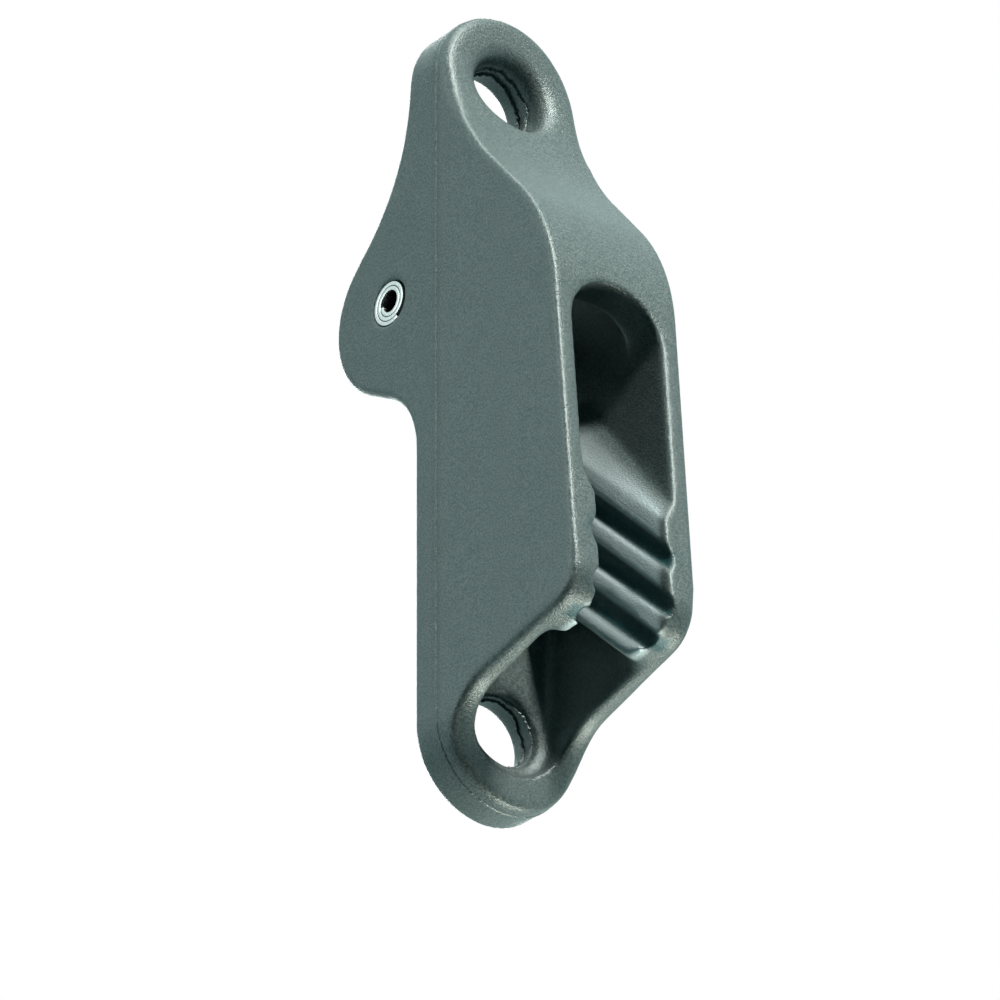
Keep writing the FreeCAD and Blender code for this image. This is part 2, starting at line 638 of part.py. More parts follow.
def make_pin():
    """The coiled spring pin: a rolled sheet, drawn as the spiral of its end and extruded."""
    start = math.radians(size("pin_start"))
    turns = size("pin_turns")
    outer = coil_arcs(0.0, turns, start)
    inner = coil_arcs(size("pin_sheet"), turns, start)
    edges = [Part.Arc(*points).toShape() for points in outer]
    edges.append(Part.LineSegment(outer[-1][2], inner[-1][2]).toShape())
    edges += [Part.Arc(*reversed(points)).toShape() for points in reversed(inner)]
    edges.append(Part.LineSegment(inner[0][0], outer[0][0]).toShape())
    face = Part.Face(Part.Wire(edges))
    solid = face.extrude(V(size("pin_length"), 0, 0))
    pin = doc.addObject("Part::Feature", "Pin")
    pin.Label = "coiled_spring_pin"
    pin.Shape = solid
    pin.Placement = FreeCAD.Placement(V(0, size("pin_y"), size("pin_z")), FreeCAD.Rotation())
    return pin


pin = make_pin()
doc.recompute()


def check_document():
    """Stop if any object of the document failed, or a sub-part has no valid solid."""
    for item in doc.Objects:
        if "Invalid" in item.State or "Error" in item.State:
            raise RuntimeError(f"{item.Label}: {item.State}")
    for part in PARTS:
        if part.Shape.isNull() or not part.Shape.isValid():
            raise RuntimeError(f"{part.Label}: shape")


PARTS = [cleat, roller, pin]
doc.recompute()
check_document()
os.makedirs("parts", exist_ok=True)
for part in PARTS:
    part.Shape.exportStep(f"parts/{part.Label}.step")
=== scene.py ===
"""Finish and studio for a cast trapeze cleat: anodised casting, coiled spring pin and rope roller."""
import logging
import math
import random
from dataclasses import dataclass

import bmesh
import bpy
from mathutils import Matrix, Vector


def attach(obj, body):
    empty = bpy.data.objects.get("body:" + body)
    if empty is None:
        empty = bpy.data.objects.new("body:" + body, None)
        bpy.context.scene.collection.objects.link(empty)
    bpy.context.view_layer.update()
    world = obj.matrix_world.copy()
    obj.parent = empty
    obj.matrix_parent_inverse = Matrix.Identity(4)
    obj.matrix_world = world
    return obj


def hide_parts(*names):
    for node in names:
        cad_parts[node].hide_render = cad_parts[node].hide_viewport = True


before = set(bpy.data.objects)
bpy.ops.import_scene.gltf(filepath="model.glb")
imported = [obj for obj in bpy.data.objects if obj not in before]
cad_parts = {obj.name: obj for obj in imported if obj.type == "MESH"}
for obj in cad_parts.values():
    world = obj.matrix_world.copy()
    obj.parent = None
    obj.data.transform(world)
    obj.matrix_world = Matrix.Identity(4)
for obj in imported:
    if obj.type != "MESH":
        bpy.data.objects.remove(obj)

log = logging.getLogger("trapeze_cleat")

Triple = tuple[float, float, float]
Pair = tuple[float, float]
Socket = bpy.types.NodeSocket
Station = tuple[Vector, Vector]
Section = list[Pair]

MM = 0.001
MERGE_REACH = 0.002 * MM
SEED = 4
WHITE = (1.0, 1.0, 1.0)
MIX_COLOUR_INPUTS = (6, 7)
MIX_COLOUR_OUTPUT = 2
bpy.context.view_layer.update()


def link(obj: bpy.types.Object) -> bpy.types.Object:
    """Put a new object into the scene and return it."""
    bpy.context.scene.collection.objects.link(obj)
    return obj


def object_from(mesh: bmesh.types.BMesh, name: str) -> bpy.types.Object:
    """Turn a bmesh into a linked object.

    Args:
        mesh: the bmesh, which is freed.
        name: the object's name.

    Returns:
        The new object, at the origin.
    """
    data = bpy.data.meshes.new(name)
    mesh.to_mesh(data)
    mesh.free()
    return link(bpy.data.objects.new(name, data))


def merged_copy(node: str, name: str) -> bpy.types.Object:
    """Copy a frame node's mesh into a new object, with its doubled points merged.

    Args:
        node: the frame node.
        name: the new object's name.

    Returns:
        The copy.
    """
    mesh = bmesh.new()
    mesh.from_mesh(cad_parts[node].data)
    bmesh.ops.remove_doubles(mesh, verts=mesh.verts, dist=MERGE_REACH)
    bmesh.ops.recalc_face_normals(mesh, faces=mesh.faces)
    return object_from(mesh, name)


def apply_modifiers(obj: bpy.types.Object) -> None:
    """Bake an object's modifiers into its mesh.

    Args:
        obj: the object, which keeps its name and place.
    """
    graph = bpy.context.evaluated_depsgraph_get()
    data = bpy.data.meshes.new_from_object(obj.evaluated_get(graph))
    obj.modifiers.clear()
    obj.data = data


def smooth(obj: bpy.types.Object) -> None:
    """Shade every face of an object smooth."""
    for polygon in obj.data.polygons:
        polygon.use_smooth = True


def triangle_count(obj: bpy.types.Object) -> int:
    """How many triangles an object's faces come to."""
    return sum(len(polygon.vertices) - 2 for polygon in obj.data.polygons)


def dress(obj: bpy.types.Object, material: bpy.types.Material) -> None:
    """Give an object one material in place of those it has."""
    obj.data.materials.clear()
    obj.data.materials.append(material)


class NodeNet:
    """A node tree, with short calls to add and join nodes."""

    def __init__(self, tree: bpy.types.NodeTree) -> None:
        """Take a node tree to add to."""
        self.tree = tree

    def add(self, kind: str, **settings: object) -> bpy.types.Node:
        """Add a node and set its inputs or properties.

        Args:
            kind: the node's type, without the ShaderNode prefix.
            settings: property names, or input names with spaces as underscores.

        Returns:
            The node.
        """
        node = self.tree.nodes.new(f"ShaderNode{kind}")
        for key, value in settings.items():
            if hasattr(node, key):
                setattr(node, key, value)
            else:
                node.inputs[key.replace("_", " ")].default_value = value
        return node

    def join(self, source: Socket, target: Socket) -> None:
        """Link two sockets."""
        self.tree.links.new(source, target)

    def combine(self, operation: str, first: Socket, second: Socket) -> Socket:
        """Work out one value from two.

        Args:
            operation: the Math node's operation.
            first: the first value.
            second: the second value.

        Returns:
            The result's socket.
        """
        node = self.add("Math", operation=operation)
        self.join(first, node.inputs[0])
        self.join(second, node.inputs[1])
        return node.outputs[0]

    def product(self, first: Socket, second: Socket) -> Socket:
        """Multiply two values."""
        return self.combine("MULTIPLY", first, second)

    def span(self, value: Socket, low: float, high: float, out_low: float, out_high: float) -> Socket:
        """Map a value's range onto another, clamped.

        Args:
            value: the value's socket.
            low: the range's start.
            high: the range's end.
            out_low: the result at the start and before it.
            out_high: the result at the end and past it.

        Returns:
            The result's socket.
        """
        node = self.add("MapRange", From_Min=low, From_Max=high, To_Min=out_low, To_Max=out_high)
        self.join(value, node.inputs["Value"])
        return node.outputs["Result"]

    def blend(self, share: Socket, first: Triple | Socket, second: Triple | Socket) -> Socket:
        """Mix two colours by a share.

        Args:
            share: 0 for the first colour, 1 for the second.
            first: a colour, or a socket that carries one.
            second: a colour, or a socket that carries one.

        Returns:
            The mixed colour's socket.
        """
        node = self.add("Mix", data_type="RGBA")
        self.join(share, node.inputs["Factor"])
        for value, place in zip((first, second), MIX_COLOUR_INPUTS):
            target = node.inputs[place]
            if isinstance(value, Socket):
                self.join(value, target)
            else:
                target.default_value = (*value, 1.0)
        return node.outputs[MIX_COLOUR_OUTPUT]


class FinishSheet(NodeNet):
    """A material's node tree, with calls for the patterns that the finishes share.

    Attributes:
        noise_middle: the range in which most of a noise lies.
        hollow_samples: samples that tell how open a place is.
    """

    noise_middle: Pair = (0.3, 0.7)
    hollow_samples: int = 8

    def __init__(self, name: str) -> None:
        """Start a material with a plain Principled surface.

        Args:
            name: the material's name.
        """
        self.material = bpy.data.materials.new(name)
        self.material.use_nodes = True
        super().__init__(self.material.node_tree)
        self.shader = self.tree.nodes["Principled BSDF"]

    def feed(self, **sockets: Socket) -> None:
        """Join sockets to the shader's inputs, named with spaces as underscores."""
        for key, socket in sockets.items():
            self.join(socket, self.shader.inputs[key.replace("_", " ")])

    def coordinates(self) -> Socket:
        """Object coordinates, in metres."""
        return self.add("TexCoord").outputs["Object"]

    def places(self) -> list[Socket]:
        """Split Object coordinates.

        Returns:
            The sockets of X, Y and Z, in metres.
        """
        split = self.add("SeparateXYZ")
        self.join(self.coordinates(), split.inputs[0])
        return list(split.outputs)

    def noise(self, cells: float, detail: float = 2.0, roughness: float = 0.5) -> Socket:
        """Noise on Object coordinates.

        Args:
            cells: cells in a metre.
            detail: octaves.
            roughness: how strong the finer octaves are.

        Returns:
            The noise value's socket.
        """
        node = self.add("TexNoise", Scale=cells, Detail=detail, Roughness=roughness)
        self.join(self.coordinates(), node.inputs["Vector"])
        return node.outputs["Fac"]

    def spread(self, noise: Socket, low: float, high: float) -> Socket:
        """Stretch the range in which most of a noise lies onto another."""
        return self.span(noise, *self.noise_middle, low, high)

    def box_share(self, low: Triple, high: Triple, fade: float) -> Socket:
        """Share of 1 inside a box of Object coordinates, fading to 0 outside it.

        Args:
            low: the box's low corner, in metres.
            high: the box's high corner.
            fade: distance over which the share ends.

        Returns:
            The share's socket.
        """
        share = None
        for axis, place in enumerate(self.places()):
            for part in (self.span(place, low[axis] - fade, low[axis], 0.0, 1.0),
                         self.span(place, high[axis], high[axis] + fade, 1.0, 0.0)):
                share = part if share is None else self.product(share, part)
        return share

    def openness(self, reach: float, shut: float, clear: float) -> Socket:
        """Share of 1 on open faces and 0 deep in hollows.

        Args:
            reach: how far round a point the hollow is felt, in metres.
            shut: the open part of the view at which the share is 0.
            clear: the open part of the view at which the share is 1.

        Returns:
            The share's socket.
        """
        hollow = self.add("AmbientOcclusion", Distance=reach, samples=self.hollow_samples, only_local=True)
        return self.span(hollow.outputs["AO"], shut, clear, 0.0, 1.0)

    def bump(self, height: Socket, distance: float, strength: float, under: Socket | None = None) -> Socket:
        """A bump, over another normal if one is given.

        Args:
            height: the pattern that is raised.
            distance: its height, in metres.
            strength: how much of it shows.
            under: the normal below it.

        Returns:
            The normal's socket.
        """
        node = self.add("Bump", Distance=distance, Strength=strength)
        self.join(height, node.inputs["Height"])
        if under is not None:
            self.join(under, node.inputs["Normal"])
        return node.outputs["Normal"]


@dataclass(frozen=True)
class JawScuffSheenAndShade:
    """Where the jaws are lighter, for rope scuffing and as a painted sheen, and where painted shade lies
    between the teeth.

    The teeth repeat along the level, which is height less place along Y. Lengths are in metres.

    Attributes:
        pocket_low: low corner of the box that holds the jaws.
        pocket_high: high corner of that box.
        facing_low: low corner of the narrower box of the faces that rope touches.
        facing_high: high corner of that box.
        fade: distance over which a box ends.
        first_crest: level of the uppermost crest.
        crests: how many crests a jaw has.
        tooth_rise: level from one crest to the next.
        ramp_end: level at which the ramp above the teeth is no longer lightened.
        crest_edge: level over which the ramp's lightening gives way to the teeth's.
        scuff_and_sheen_wave: where the crests' wave starts to be lightened by scuffing and painted sheen,
            and where fully.
        valley_shade_wave: where the wave stops being full of painted shade, and where it is free of it.
        most_scuff_and_sheen: the greatest share of the scuffed colour with painted sheen.
        most_valley_shade: the greatest share of painted shade.
    """

    pocket_low: Triple = (-0.0049, -0.0168, -0.0620)
    pocket_high: Triple = (0.0049, -0.0004, -0.0240)
    facing_low: Triple = (-0.0037, -0.0160, -0.0620)
    facing_high: Triple = (0.0037, -0.0004, -0.0240)
    fade: float = 0.0007
    first_crest: float = -0.02995
    crests: int = 4
    tooth_rise: float = 0.004525
    ramp_end: float = -0.0250
    crest_edge: float = 0.0002
    scuff_and_sheen_wave: Pair = (-0.15, 0.55)
    valley_shade_wave: Pair = (-0.55, 0.15)
    most_scuff_and_sheen: float = 0.9
    most_valley_shade: float = 0.92

    def wave(self, sheet: FinishSheet, level: Socket) -> Socket:
        """A cosine that is 1 on every crest and -1 in every valley.

        Args:
            sheet: the sheet that the nodes are added to.
            level: the level's socket.

        Returns:
            The wave's socket.
        """
        turns = 2 * math.pi / self.tooth_rise
        turn = sheet.add("Math", operation="MULTIPLY_ADD")
        sheet.join(level, turn.inputs[0])
        turn.inputs[1].default_value = turns
        turn.inputs[2].default_value = -turns * self.first_crest
        wave = sheet.add("Math", operation="COSINE")
        sheet.join(turn.outputs[0], wave.inputs[0])
        return wave.outputs[0]

    def shares(self, sheet: FinishSheet) -> tuple[Socket, Socket]:
        """Work out both shares.

        Args:
            sheet: the sheet that the nodes are added to.

        Returns:
            The share of rope scuffing with painted sheen, and the share of painted shade.
        """
        _, along, height = sheet.places()
        level = sheet.combine("SUBTRACT", height, along)
        wave = self.wave(sheet, level)
        last_crest = self.first_crest - (self.crests - 1) * self.tooth_rise
        lowest = last_crest - self.tooth_rise / 4
        inside = sheet.product(sheet.box_share(self.pocket_low, self.pocket_high, self.fade),
                               sheet.span(level, lowest - self.fade / 2, lowest, 0.0, 1.0))
        teeth = sheet.span(level, self.first_crest - self.crest_edge, self.first_crest, 1.0, 0.0)
        # Painted sheen and rope scuffing: the crests of the teeth and the ramp above them are made lighter.
        crests = sheet.product(sheet.span(wave, *self.scuff_and_sheen_wave, 0.0, self.most_scuff_and_sheen), teeth)
        ramp = sheet.product(sheet.span(level, self.first_crest, self.ramp_end, self.most_scuff_and_sheen, 0.0),
                             sheet.span(teeth, 0.0, 1.0, 1.0, 0.0))
        facing = sheet.box_share(self.facing_low, self.facing_high, self.fade)
        scuff_and_sheen = sheet.product(sheet.combine("MAXIMUM", crests, ramp), facing)
        # Painted shade: the valleys between the teeth are darkened towards the deep colour.
        valley_shade = sheet.product(sheet.span(wave, *self.valley_shade_wave, self.most_valley_shade, 0.0), teeth)
        return sheet.product(scuff_and_sheen, inside), sheet.product(valley_shade, inside)


@dataclass(frozen=True)
class AnodisedCasting:
    """Hard-anodised die casting: dark green-grey, satin, with a fine blasted grain.

    Attributes:
        base: the darker colour of the grain.
        pale: the paler colour of the grain.
        deep: the colour of the painted shade in hollows and between the teeth.
        scuff_and_sheen_colour: the colour of the jaw crests and ramp, lighter for rope scuffing and as a
            painted sheen.
        grain_cells: cells of the grain in a metre.
        grain_detail: octaves of the grain.
        grain_edge: how strong the grain's finer octaves are.
        grain_height: height of the grain, in metres.
        mottle: the part of the grain's range over which the colours mix.
        patch_cells: cells of the wider patches in a metre.
        patch_shade: the greatest share by which a patch is darker.
        patch_height: height of the patches, in metres.
        patch_strength: how much of that height shows.
        hollow_reach: how far round a point a hollow is felt, in metres.
        hollow_range: the open parts of the view at which the painted shade, the deep colour, is full and
            gone.
        roughness: the surface's middle roughness.
        smoother: how much smoother the grain's low places are.
        rougher: how much rougher its high places are.
        metallic: how metallic the surface is.
        specular: its specular level.
        jaw_scuff_and_shade: where the jaws are lighter for rope scuffing and painted sheen, and where
            painted shade lies between the teeth.
    """

    base: Triple = (0.054, 0.084, 0.081)
    pale: Triple = (0.122, 0.160, 0.154)
    deep: Triple = (0.000, 0.044, 0.049)
    scuff_and_sheen_colour: Triple = (0.42, 0.53, 0.54)
    grain_cells: float = 5000.0
    grain_detail: float = 3.0
    grain_edge: float = 0.62
    grain_height: float = 0.00006
    mottle: Pair = (0.38, 0.62)
    patch_cells: float = 420.0
    patch_shade: float = 0.25
    patch_height: float = 0.00008
    patch_strength: float = 0.25
    hollow_reach: float = 0.0028
    hollow_range: Pair = (0.58, 0.90)
    roughness: float = 0.38
    smoother: float = 0.05
    rougher: float = 0.07
    metallic: float = 0.30
    specular: float = 0.45
    jaw_scuff_and_shade: JawScuffSheenAndShade = JawScuffSheenAndShade()

    def material(self) -> bpy.types.Material:
        """Build the node tree.

        Returns:
            The material of the casting and of its fins.
        """
        sheet = FinishSheet("anodised_casting")
        grain = sheet.noise(self.grain_cells, self.grain_detail, self.grain_edge)
        patches = sheet.noise(self.patch_cells)
        colour = sheet.blend(sheet.span(grain, *self.mottle, 0.0, 1.0), self.base, self.pale)
        colour = sheet.blend(sheet.spread(patches, 0.0, self.patch_shade), colour, self.base)
        # Painted shade: hollows are darkened towards the deep colour, the less open the more.
        clear = sheet.openness(self.hollow_reach, *self.hollow_range)
        colour = sheet.blend(clear, self.deep, colour)
        # Painted sheen with rope scuffing lightens the jaw crests and ramp; painted shade darkens the
        # valleys between the teeth.
        scuff_and_sheen, valley_shade = self.jaw_scuff_and_shade.shares(sheet)
        colour = sheet.blend(scuff_and_sheen, colour, self.scuff_and_sheen_colour)
        colour = sheet.blend(valley_shade, colour, self.deep)
        rough = sheet.spread(grain, self.roughness - self.smoother, self.roughness + self.rougher)
        sheet.shader.inputs["Metallic"].default_value = self.metallic
        sheet.shader.inputs["Specular IOR Level"].default_value = self.specular
        coarse = sheet.bump(patches, self.patch_height, self.patch_strength)
        fine = sheet.bump(grain, self.grain_height, 1.0, under=coarse)
        sheet.feed(Base_Color=colour, Roughness=rough, Normal=fine)
        return sheet.material


@dataclass(frozen=True)
class StainlessStrip:
    """Bright stainless strip of the rolled pin, with fine rolling marks.

    Attributes:
        base: the strip's colour.
        bore_shade: the painted shade deep in the pin's hole and between the layers.
        dull_share: how bright the marks' low places are, as a share of the base.
        mark_cells: cells of the rolling marks in a metre.
        mark_detail: octaves of the marks.
        mark_height: height of the marks, in metres.
        mark_strength: how much of that height shows.
        hollow_reach: how far round a point a hollow is felt, in metres.
        hollow_range: the open parts of the view at which the painted shade is full and gone.
        roughness: the surface's middle roughness.
        smoother: how much smoother the marks' low places are.
        rougher: how much rougher their high places are.
    """

    base: Triple = (0.72, 0.72, 0.70)
    bore_shade: Triple = (0.030, 0.034, 0.036)
    dull_share: float = 0.8
    mark_cells: float = 5200.0
    mark_detail: float = 3.0
    mark_height: float = 0.00001
    mark_strength: float = 0.4
    hollow_reach: float = 0.0022
    hollow_range: Pair = (0.35, 0.9)
    roughness: float = 0.28
    smoother: float = 0.06
    rougher: float = 0.1

    def material(self) -> bpy.types.Material:
        """Build the node tree.

        Returns:
            The material of the pin.
        """
        sheet = FinishSheet("stainless_strip")
        marks = sheet.noise(self.mark_cells, self.mark_detail)
        dull = tuple(self.dull_share * value for value in self.base)
        colour = sheet.blend(sheet.spread(marks, 0.0, 1.0), dull, self.base)
        # Painted shade: the pin's hole and the gaps between its layers are darkened, the less open the
        # more.
        clear = sheet.openness(self.hollow_reach, *self.hollow_range)
        colour = sheet.blend(clear, self.bore_shade, colour)
        rough = sheet.spread(marks, self.roughness - self.smoother, self.roughness + self.rougher)
        sheet.shader.inputs["Metallic"].default_value = 1.0
        fine = sheet.bump(marks, self.mark_height, self.mark_strength)
        sheet.feed(Base_Color=colour, Roughness=rough, Normal=fine)
        return sheet.material


@dataclass(frozen=True)
class MouldedRoller:
    """Black moulded bearing plastic, with a faint grain.

    Attributes:
        base: the plastic's colour.
        pale_share: how bright the grain's high places are, as a share of the base.
        grain_cells: cells of the grain in a metre.
        grain_height: height of the grain, in metres.
        grain_strength: how much of that height shows.
        roughness: the surface's middle roughness.
        smoother: how much smoother the grain's low places are.
        rougher: how much rougher its high places are.
    """

    base: Triple = (0.022, 0.022, 0.024)
    pale_share: float = 1.6
    grain_cells: float = 3200.0
    grain_height: float = 0.00001
    grain_strength: float = 0.5
    roughness: float = 0.38
    smoother: float = 0.05
    rougher: float = 0.08

    def material(self) -> bpy.types.Material:
        """Build the node tree.

        Returns:
            The material of the roller.
        """
        sheet = FinishSheet("moulded_roller")
        grain = sheet.noise(self.grain_cells)
        pale = tuple(self.pale_share * value for value in self.base)
        colour = sheet.blend(sheet.spread(grain, 0.0, 1.0), self.base, pale)
        rough = sheet.spread(grain, self.roughness - self.smoother, self.roughness + self.rougher)
        fine = sheet.bump(grain, self.grain_height, self.grain_strength)
        sheet.feed(Base_Color=colour, Roughness=rough, Normal=fine)
        return sheet.material


@dataclass(frozen=True)
class Plan:
    """The body's outline seen from the front: a straight band with round ends.

    Attributes:
        half_width: half the band's width, in millimetres.
        top: height of the upper end's centre.
        bottom: height of the lower end's centre.
        upper_eye: height of the upper eye's axis.
        lower_eye: height of the lower eye's axis.
    """

    half_width: float = 7.0
    top: float = 0.4
    bottom: float = -60.6
    upper_eye: float = 0.0
    lower_eye: float = -59.8

    def level(self, point: Vector) -> float:
        """Height of the nearest place on the band's middle line."""
        return min(max(point.z, self.bottom), self.top)

    def across(self, point: Vector) -> float:
        """Distance from the band's middle line, seen from the front."""
        return math.hypot(point.x, point.z - self.level(point))


PLAN = Plan()


@dataclass(frozen=True)
class SoftZone:
    """A box of the casting whose edges are rounder than the rest.

    Attributes:
        name: the zone's name.
        low: the box's low corner, in millimetres.
        high: the box's high corner.
        fade: distance over which the zone's effect ends, outside the box.
        rounds: smoothing steps.
        rim_only: whether only the body's outer rim is meant.
        rim_reach: how far inside the outline that rim begins.
    """

    name: str
    low: Triple
    high: Triple
    fade: float
    rounds: int
    rim_only: bool = False
    rim_reach: float = 2.4

    def weight(self, point: Vector) -> float:
        """How strongly a point belongs to the zone.

        Args:
            point: the point, in metres.

        Returns:
            A weight from 0 to 1.
        """
        outside = 0.0
        for axis in range(3):
            value = point[axis] / MM
            outside = max(outside, self.low[axis] - value, value - self.high[axis])
        inside = max(0.0, 1.0 - outside / self.fade)
        if self.rim_only:
            inside *= min(1.0, max(0.0, PLAN.across(point / MM) - PLAN.half_width + self.rim_reach))
        return inside


@dataclass
class Casting:
    """The cast body: the frame's solid with every edge softened as a casting's are.

    Attributes:
        body: the body that the casting moves with.
        node: the frame node that it replaces.
        voxel: size of the cells it is remeshed in, in metres.
        factor: how far one smoothing step moves a point.
        smoothing: smoothing steps everywhere.
        triangle_limit: the most triangles it keeps.
        seam_reach: how far from the parting plane the wall is flattened, in millimetres.
        seam_depth: how much lower the wall is in that plane.
        seam_band: how far inside the outline a point still counts as the outer wall.
        draft: how much the half width loses for each millimetre from the plane.
        finish: its finish.
        zones: where its edges are rounder.
    """

    body: str = "cleat"
    node: str = "cleat_body"
    voxel: float = 0.15 * MM
    factor: float = 0.5
    smoothing: int = 9
    triangle_limit: int = 190000
    seam_reach: float = 0.6
    seam_depth: float = 0.05
    seam_band: float = 0.5
    draft: float = 0.0244
    finish: AnodisedCasting = AnodisedCasting()
    zones: tuple[SoftZone, ...] = (
        SoftZone("upper_rim", (-8.0, -2.4, -4.0), (8.0, -0.1, 9.0), fade=1.5, rounds=110, rim_only=True),
        SoftZone("lower_rim", (-8.0, -19.0, -69.0), (8.0, -0.9, -53.0), fade=1.5, rounds=80, rim_only=True),
        SoftZone("eye_mouths", (-5.0, -2.2, -66.0), (5.0, 0.0, 5.0), fade=0.8, rounds=16),
        SoftZone("dish", (-5.4, -12.0, -62.0), (5.4, 1.6, -51.5), fade=1.5, rounds=60),
        SoftZone("ramp_foot", (-5.4, -12.6, -31.0), (5.4, 1.0, -21.0), fade=1.2, rounds=130),
        SoftZone("dish_wall", (-5.2, -13.0, -57.5), (5.2, 0.2, -50.5), fade=1.0, rounds=110),
        SoftZone("teeth", (-5.0, -18.5, -52.0), (5.0, 1.0, -29.0), fade=1.0, rounds=12),
        SoftZone("slot_rim", (-5.4, -18.5, -42.0), (5.4, -13.0, -21.0), fade=1.0, rounds=45),
    )

    def remesh(self, casting: bpy.types.Object) -> None:
        """Turn the CAD facets into even small cells.

        Args:
            casting: the merged copy of the frame's solid.
        """
        remesh = casting.modifiers.new("remesh", "REMESH")
        remesh.mode = "VOXEL"
        remesh.voxel_size = self.voxel
        remesh.adaptivity = 0.0
        apply_modifiers(casting)

    def soften(self, casting: bpy.types.Object) -> None:
        """Round the edges: a little everywhere, and more inside each zone.

        Args:
            casting: the remeshed casting.
        """
        modifier = casting.modifiers.new("soften", "SMOOTH")
        modifier.factor = self.factor
        modifier.iterations = self.smoothing
        for zone in self.zones:
            group = casting.vertex_groups.new(name=zone.name)
            for vertex in casting.data.vertices:
                weight = zone.weight(vertex.co)
                if weight > 0.0:
                    group.add([vertex.index], weight, "REPLACE")
            modifier = casting.modifiers.new(zone.name, "SMOOTH")
            modifier.factor = self.factor
            modifier.iterations = zone.rounds
            modifier.vertex_group = group.name
        apply_modifiers(casting)
        casting.vertex_groups.clear()

    def clear_seam(self, casting: bpy.types.Object) -> None:
        """Flatten the outer wall beside the parting plane, where the raised line is put later.

        Args:
            casting: the softened casting.
        """
        for vertex in casting.data.vertices:
            point = vertex.co / MM
            beside = 1.0 - abs(point.y) / self.seam_reach
            level = PLAN.level(point)
            across = PLAN.across(point)
            if beside <= 0.0 or across < PLAN.half_width - self.seam_band:
                continue
            wall = PLAN.half_width - abs(point.y) * self.draft - self.seam_depth * beside
            vertex.co.x = point.x * wall / across * MM
            vertex.co.z = (level + (point.z - level) * wall / across) * MM

    def thin(self, casting: bpy.types.Object) -> None:
        """Bring the number of triangles under the limit.

        Args:
            casting: the casting in its final shape.
        """
        count = triangle_count(casting)
        if count > self.triangle_limit:
            log.info("thinning %s from %d triangles", casting.name, count)
            thin = casting.modifiers.new("thin", "DECIMATE")
            thin.ratio = self.triangle_limit / count
            apply_modifiers(casting)

    def build(self) -> bpy.types.Object:
        """Make the softened casting in place of the frame's solid.

        Returns:
            The casting.
        """
        casting = merged_copy(self.node, "casting")
        self.remesh(casting)
        self.soften(casting)
        self.clear_seam(casting)
        self.thin(casting)
        smooth(casting)
        dress(casting, self.finish.material())
        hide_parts(self.node)
        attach(casting, self.body)
        return casting


@dataclass(frozen=True)
class EyeFin:
    """One ragged fin inside an eye.

    Attributes:
        name: the piece's name.
        centre: the eye's height, in millimetres.
        depth: the fin's place along the eye.
        reach: how far it stands into the eye at most.
    """

    name: str
    centre: float
    depth: float
    reach: float


